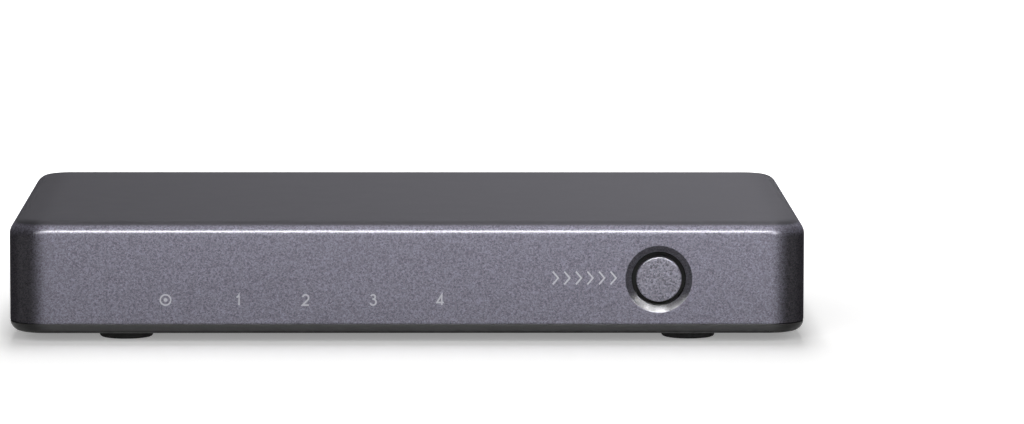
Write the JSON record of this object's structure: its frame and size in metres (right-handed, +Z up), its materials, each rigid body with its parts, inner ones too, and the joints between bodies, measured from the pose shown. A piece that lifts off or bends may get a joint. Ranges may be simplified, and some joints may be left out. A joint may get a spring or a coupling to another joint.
{
  "type": "hdmi switch box",
  "caption": "Low grey video switch box with rolled edges, a round sprung select button, back-lit source numbers, rubber feet, and video and power sockets in a black rear panel.",
  "frame": {"origin": "on the table, under the middle of the box", "axes": "+X to the right seen from the front, +Y from front to rear, +Z up"},
  "size_m": [0.16, 0.097, 0.025],
  "materials": {
    "housing_paint": "metallic grey paint with fine flake, satin",
    "button_paint": "metallic grey paint with coarse flake, satin",
    "base_plastic": "dark grey moulded plastic, fine grain",
    "panel_plastic": "black moulded plastic, fine grain",
    "foot_rubber": "matt black rubber",
    "screw_steel": "blackened steel",
    "board_laminate": "green solder mask, satin",
    "socket_steel": "bright nickel-plated sheet",
    "socket_plastic": "black moulded plastic",
    "gold_contact": "thin gold plate",
    "plated_contact": "tin plate",
    "switch_plastic": "black moulded plastic",
    "filter_plastic": "dark red-black epoxy",
    "guide_acrylic": "clear acrylic",
    "lamp_resin": "milky resin",
    "chip_epoxy": "black moulding compound",
    "inductor_ferrite": "dark ferrite",
    "capacitor_can": "bare aluminium can"
  },
  "bodies": {
    "housing": {"top_shell": "housing_paint", "base_cover": "base_plastic", "rear_panel": "panel_plastic", "foot_front_left": "foot_rubber", "foot_front_right": "foot_rubber", "foot_rear_left": "foot_rubber", "foot_rear_right": "foot_rubber", "base_screws": "screw_steel", "main_board": "board_laminate", "board_screws": "screw_steel", "dc_jack_body": "socket_plastic", "dc_jack_pin": "plated_contact", "dc_jack_contact": "plated_contact", "switch_dome": "plated_contact", "switch_body": "switch_plastic", "switch_bracket": "socket_steel", "switch_terminals": "plated_contact", "ir_receiver": "filter_plastic", "ir_receiver_leads": "plated_contact", "light_guide": "guide_acrylic", "hdmi_chip": "chip_epoxy", "microcontroller": "chip_epoxy", "memory_chips": "chip_epoxy", "regulator": "chip_epoxy", "chip_leads": "plated_contact", "crystal": "socket_steel", "power_inductor": "inductor_ferrite", "electrolytic_capacitors": "capacitor_can", "surge_arrays": "chip_epoxy", "hdmi_in_1_shell": "socket_steel", "hdmi_in_1_insulator": "socket_plastic", "hdmi_in_1_contacts": "gold_contact", "hdmi_in_2_shell": "socket_steel", "hdmi_in_2_insulator": "socket_plastic", "hdmi_in_2_contacts": "gold_contact", "hdmi_in_3_shell": "socket_steel", "hdmi_in_3_insulator": "socket_plastic", "hdmi_in_3_contacts": "gold_contact", "hdmi_in_4_shell": "socket_steel", "hdmi_in_4_insulator": "socket_plastic", "hdmi_in_4_contacts": "gold_contact", "hdmi_out_shell": "socket_steel", "hdmi_out_insulator": "socket_plastic", "hdmi_out_contacts": "gold_contact", "indicator_led_1": "lamp_resin", "indicator_led_2": "lamp_resin", "indicator_led_3": "lamp_resin", "indicator_led_4": "lamp_resin"},
    "select_key": {"select_button": "button_paint", "switch_plunger": "switch_plastic"}
  },
  "joints": [
    {"name": "select_press", "type": "slide", "parent": "housing", "child": "select_key", "axis": [0, 1, 0], "range_m": [0, 0.0005], "stiffness_N_per_m": 1500, "springref_m": -0.0002, "deforming": ["switch_dome"]}
  ]
}
